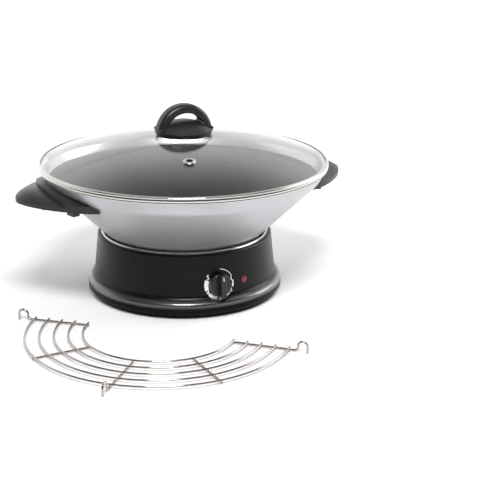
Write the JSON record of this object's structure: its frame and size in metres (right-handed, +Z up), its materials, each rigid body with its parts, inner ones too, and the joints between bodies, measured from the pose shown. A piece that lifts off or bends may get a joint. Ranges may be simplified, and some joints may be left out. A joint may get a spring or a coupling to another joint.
{
  "type": "electric wok",
  "caption": "Electric wok: tapered heated base with dial, lift-out wok pan with wing handles, domed glass lid with arched knob, and a half-round draining rack.",
  "frame": {"origin": "on the table at the axis of the wok, under the middle of the base", "axes": "+Z up; -Y to the front, where the control knob is; the two pan handles lie along +X and -X"},
  "size_m": [0.4564, 0.4803, 0.2378],
  "materials": {
    "base_plastic": "satin moulded thermoplastic with a fine grain",
    "foot_rubber": "soft moulded rubber",
    "screw_steel": "zinc-plated steel",
    "trim_steel": "polished stainless sheet",
    "shield_steel": "aluminised sheet steel",
    "hot_plate_aluminium": "die-cast aluminium, turned face",
    "element_steel": "tube heater sheath",
    "inner_plastic": "heat-resistant plastic",
    "knob_plastic": "satin thermoplastic",
    "lamp_red": "clear red lens",
    "pan_metal": "silver-grey enamel outside, grey non-stick inside",
    "bracket_steel": "steel strap",
    "handle_plastic": "satin phenolic moulding",
    "lid_glass": "tempered clear glass",
    "vent_metal": "stainless eyelet",
    "rack_chrome": "bright chrome-plated wire"
  },
  "bodies": {
    "base": {"base_shell": "base_plastic", "base_plate": "base_plastic", "rubber_foot_1": "foot_rubber", "rubber_foot_2": "foot_rubber", "rubber_foot_3": "foot_rubber", "rubber_foot_4": "foot_rubber", "base_screw_1": "screw_steel", "base_screw_2": "screw_steel", "base_screw_3": "screw_steel", "base_screw_4": "screw_steel", "trim_ring": "trim_steel", "heat_shield": "shield_steel", "hot_plate": "hot_plate_aluminium", "heating_element": "element_steel", "hot_plate_stud_1": "shield_steel", "hot_plate_stud_2": "shield_steel", "hot_plate_stud_3": "shield_steel", "thermostat_body": "inner_plastic", "thermostat_nut": "screw_steel", "lamp_lens": "lamp_red", "lamp_holder": "inner_plastic", "cord_gland": "inner_plastic", "gland_nut": "inner_plastic", "terminal_block": "inner_plastic"},
    "knob": {"control_knob": "knob_plastic", "thermostat_shaft": "screw_steel"},
    "pan": {"wok_pan": "pan_metal", "handle_right": "handle_plastic", "handle_left": "handle_plastic", "handle_bracket_right": "bracket_steel", "handle_bracket_left": "bracket_steel", "handle_screw_right": "screw_steel", "handle_screw_left": "screw_steel"},
    "lid": {"lid_glass": "lid_glass", "lid_rim": "trim_steel", "vent_grommet": "vent_metal", "lid_knob_disc": "handle_plastic", "lid_knob_arch": "handle_plastic", "lid_knob_screw": "screw_steel", "lid_knob_washer": "screw_steel"},
    "rack": {"rack_wire_1": "rack_chrome", "rack_wire_2": "rack_chrome", "rack_wire_3": "rack_chrome", "rack_wire_4": "rack_chrome", "rack_wire_5": "rack_chrome", "rack_bar_1": "rack_chrome", "rack_bar_2": "rack_chrome", "rack_bar_3": "rack_chrome", "rack_bar_4": "rack_chrome", "rack_bar_5": "rack_chrome"}
  },
  "joints": [
    {"name": "knob_turn", "type": "hinge", "parent": "base", "child": "knob", "pos_m": [0, -0.11306, 0.04], "axis": [0, -0.995, 0.0999], "range_deg": [-305, 0]},
    {"name": "pan_lift", "type": "slide", "parent": "base", "child": "pan", "axis": [0, 0, 1], "range_m": [0, 0.15]},
    {"name": "lid_lift", "type": "slide", "parent": "pan", "child": "lid", "axis": [0, 0, 1], "range_m": [0, 0.15]},
    {"name": "rack_lift", "type": "slide", "parent": "base", "child": "rack", "axis": [0, 0, 1], "range_m": [0, 0.1]}
  ]
}
